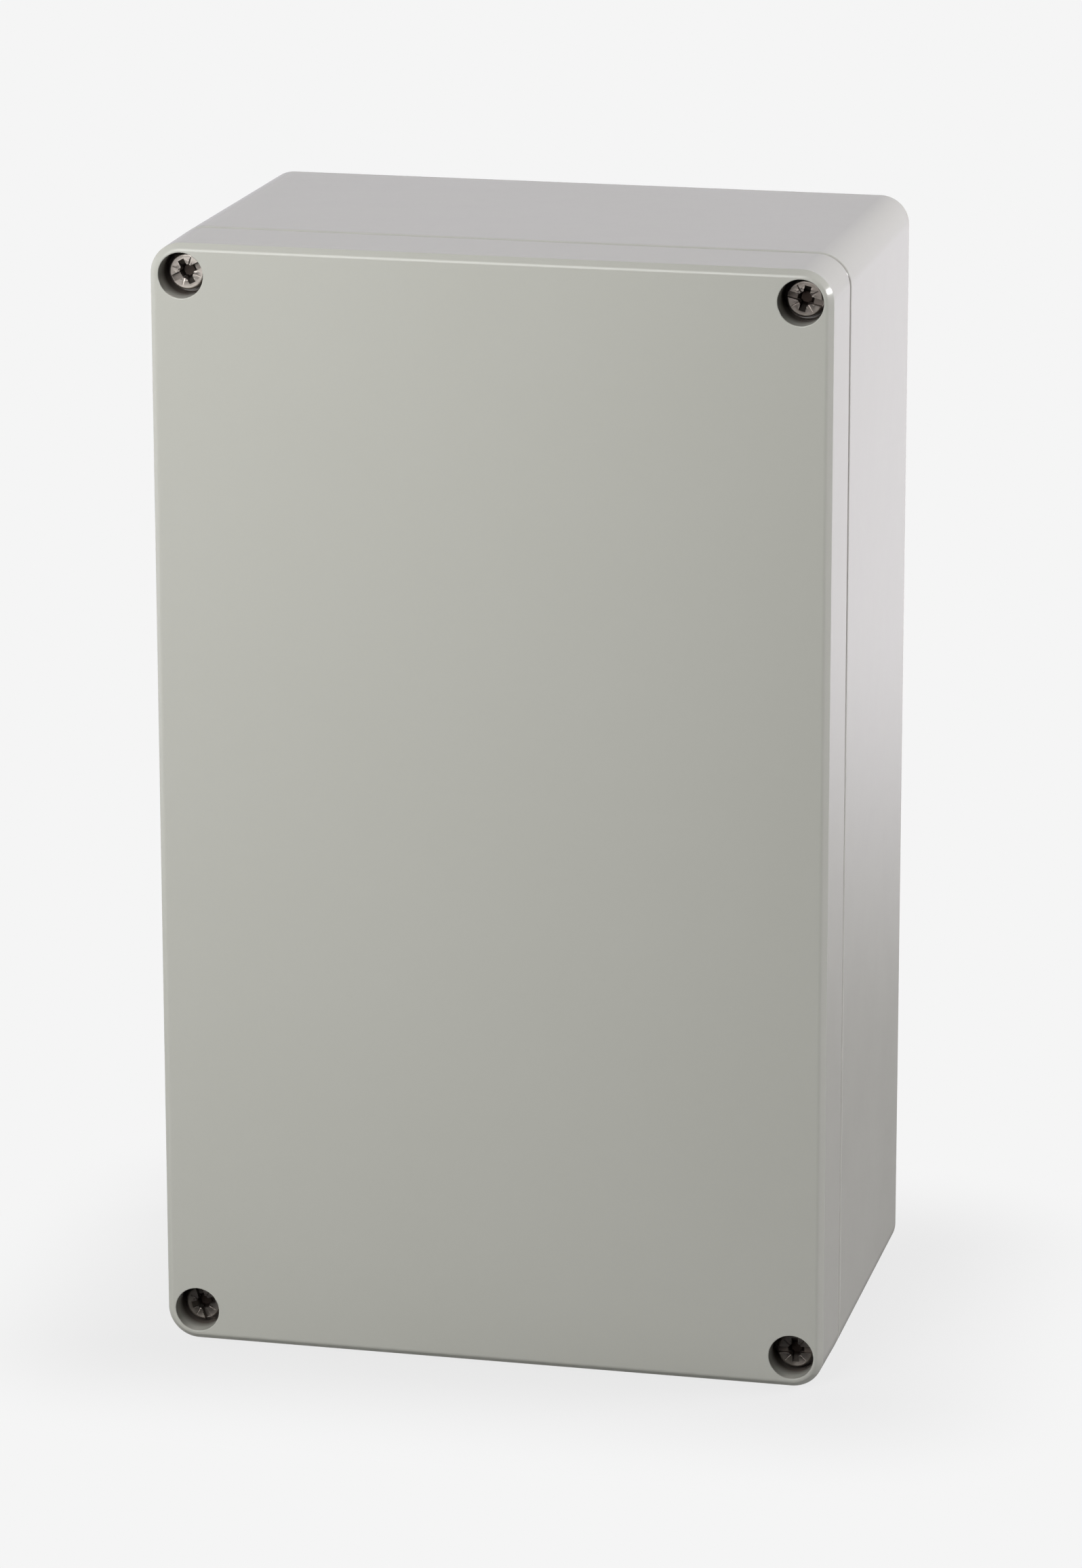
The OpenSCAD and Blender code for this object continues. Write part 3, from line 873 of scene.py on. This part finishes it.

# %% [markdown]
# ## Floor and background
# The photograph's background is one flat pale grey. For the camera the floor gives that grey by
# itself, and only near the box a share of its real shading comes through, which keeps a soft
# shadow. The box's gloss mirrors a cooler grey far behind. For gloss the floor's grey is painted
# darker towards the box, a painted shadow, and in front of it, painted shade as in a studio whose
# front is dark. All other light meets a real matt floor.

# %% Floor, a hair below the box's bottom
BACKGROUND = linear(245, 245, 245)
# Far grey mirrored in gloss, and the painted shade that the floor shows in gloss near the box and
# in front of it.
MIRRORED, PAINTED_FLOOR_SHADE = linear(246, 242, 251), linear(52, 52, 54)
FOOTPRINT = (BOX_W / 2 * MM, BOX_D / 2 * MM, 0)
floor_data = bpy.data.meshes.new("floor")
floor_data.from_pydata(
    [(-0.9, -0.5, 0), (0.9, -0.5, 0), (0.9, 1.3, 0), (-0.9, 1.3, 0)], [], [(0, 1, 2, 3)])
floor = bpy.data.objects.new("floor", floor_data)
bpy.context.scene.collection.objects.link(floor)
floor.location.z = -0.0002


def seen_in_gloss(finish):
    """1 for the rays that gloss or glass sends out, and 0 for the rest."""
    mirrored = finish.node("ShaderNodeLightPath", out="Is Glossy Ray")
    return mirrored.math("MAXIMUM", mirrored.other("Is Transmission Ray"))


def pale_floor():
    """The distance from the box's footprint is the length of what a point's folded place has
    beyond it. It drives the share of real shadow for the camera and the painted shadow in gloss."""
    finish = Finish(bpy.data.materials.new("pale_floor"))
    over = finish.vector("SUBTRACT", finish.vector("ABSOLUTE", finish.place()), FOOTPRINT)
    past = finish.vector("MAXIMUM", over, (0, 0, 0))
    away = finish.vector("LENGTH", past, out="Value")
    gloss = seen_in_gloss(finish)
    camera = finish.node("ShaderNodeLightPath", out="Is Camera Ray")
    front = finish.part("Y", finish.place()) * -1
    # Painted shadow in gloss: darker within about half a metre of the box, and painted dark
    # everywhere in front of it.
    dim = 1 - smooth((away - 0.1) / 0.4) * (1 - smooth(front / 0.1))
    shade = finish.mix(gloss, BACKGROUND, finish.mix(dim, MIRRORED, PAINTED_FLOOR_SHADE))
    lit = finish.node("ShaderNodeBsdfDiffuse", {}, {"Color": (0.45, 0.45, 0.45, 1)})
    flat = finish.node("ShaderNodeEmission", {}, {"Color": shade, "Strength": 1.0})
    share = gloss + camera * (1 - smooth(1 - away / 0.05) * 0.16)
    mixed = finish.node("ShaderNodeMixShader", {}, {0: share.clamped(), 1: lit, 2: flat})
    finish.node("ShaderNodeOutputMaterial", {}, {"Surface": mixed})
    return finish.owner


dress(floor, pale_floor())

# %% World
def pale_world(name, level, mirrored):
    """The background's grey for the camera, a share of it for gloss, and this level
    of plain light for everything else. Both dim towards the front, where the room is
    dark: a smooth step of the direction's Y."""
    finish = Finish(bpy.data.worlds.new(name))
    way = finish.node("ShaderNodeTexCoord", out="Generated")
    dim = 0.04 + smooth((finish.part("Y", way) + 0.6) / 1.1) * 0.96
    plain = finish.node("ShaderNodeBackground", {},
                        {"Color": (level, level, level, 1), "Strength": dim})
    shown = finish.node("ShaderNodeBackground", {},
                        {"Color": MIRRORED, "Strength": dim * mirrored})
    flat = finish.node("ShaderNodeBackground", {}, {"Color": BACKGROUND})
    light = finish.node("ShaderNodeMixShader", {}, {0: seen_in_gloss(finish), 1: plain, 2: shown})
    camera = finish.node("ShaderNodeLightPath", out="Is Camera Ray")
    mixed = finish.node("ShaderNodeMixShader", {}, {0: camera, 1: light, 2: flat})
    finish.node("ShaderNodeOutputWorld", {}, {"Surface": mixed})
    return finish.owner


bpy.context.scene.world = pale_world("studio", 0.2, 0.83)

# %% [markdown]
# ## Studio light
# A large soft box in front, high on the left, lights the face and fades towards the
# lower right. It shows in the gloss as a soft line along the upper bevel. Two weaker
# boxes stand behind the plane of the face and light the sides without touching it,
# and one lights the back. A small one on the right makes only a glint, at the lid's
# upper right corner. Their power was set by comparing shades with the photograph's.

# %% Lamps
def soft_box(name, place, aim, size, watts, spread, tint=(1, 1, 1), mirrored=False,
             lights=True):
    """A square area lamp at a place, turned to face a point, in metres. Only a
    mirrored lamp shows in the gloss, and one that doesn't light shows only there."""
    lamp = bpy.data.lights.new(name, "AREA")
    lamp.color = tint
    lamp.shape, lamp.size = "SQUARE", size
    lamp.energy, lamp.spread = watts, math.radians(spread)
    shown = bpy.data.objects.new(name, lamp)
    bpy.context.scene.collection.objects.link(shown)
    shown.location = place
    shown.visible_glossy, shown.visible_diffuse = mirrored, lights
    shown.rotation_euler = (Vector(aim) - Vector(place)).to_track_quat("-Z", "Y").to_euler()
    return shown


soft_box("key", (-0.293, -0.665, 0.5), (-0.222, -0.038, 0.3), 0.6, 2.45, 84.7, mirrored=True)
soft_box("fill", (0.8, 0.26, 0.43), (0, 0, 0.15), 0.4, 1.2, 60, (0.98, 0.955, 1))
soft_box("left_fill", (-0.8, 0.28, 0.15), (0, 0, 0.1), 0.4, 0.5, 60)
soft_box("behind", (-0.2, 1.1, 0.1), (0, 0, 0.1), 0.4, 0.6, 40)
soft_box("glint", (0.9, -0.26, 0.47), (0.06, -0.04, 0.2), 0.13, 0.7, 60,
         mirrored=True, lights=False)

# %% [markdown]
# ## Camera
# The photograph was taken from slightly above and to the right with a long lens.
# The angles, the distance and the lens come from fitting the box's outline, its four
# screw recesses and its seam to it.

# %% Camera at the photograph's angle
FOCAL_PIXELS, PHOTO_PIXELS, SENSOR = 9574, 2312, 36
LOOKED_AT, DISTANCE = Vector((0.0093, -0.0375, 0.1076)), 1.125
azimuth, elevation, roll = map(math.radians, (13.30, 15.48, -0.09))
back = Vector((math.sin(azimuth) * math.cos(elevation),
               -math.cos(azimuth) * math.cos(elevation), math.sin(elevation)))
right = Vector((math.cos(azimuth), math.sin(azimuth), 0))
up = back.cross(right)
tilted_right = right * math.cos(roll) + up * math.sin(roll)
tilted_up = up * math.cos(roll) - right * math.sin(roll)
camera_data = bpy.data.cameras.new("camera")
camera_data.sensor_fit = "VERTICAL"
camera_data.sensor_width = camera_data.sensor_height = SENSOR
camera_data.lens = FOCAL_PIXELS / PHOTO_PIXELS * SENSOR
camera_data.clip_start, camera_data.clip_end = 0.05, 50
camera = bpy.data.objects.new("camera", camera_data)
bpy.context.scene.collection.objects.link(camera)
turned_to = Matrix((tilted_right, tilted_up, back)).transposed().to_4x4()
camera.matrix_world = Matrix.Translation(LOOKED_AT + back * DISTANCE) @ turned_to
bpy.context.scene.camera = camera
bpy.context.scene.view_settings.view_transform = "Standard"
print("lens in mm:", round(camera_data.lens, 2))
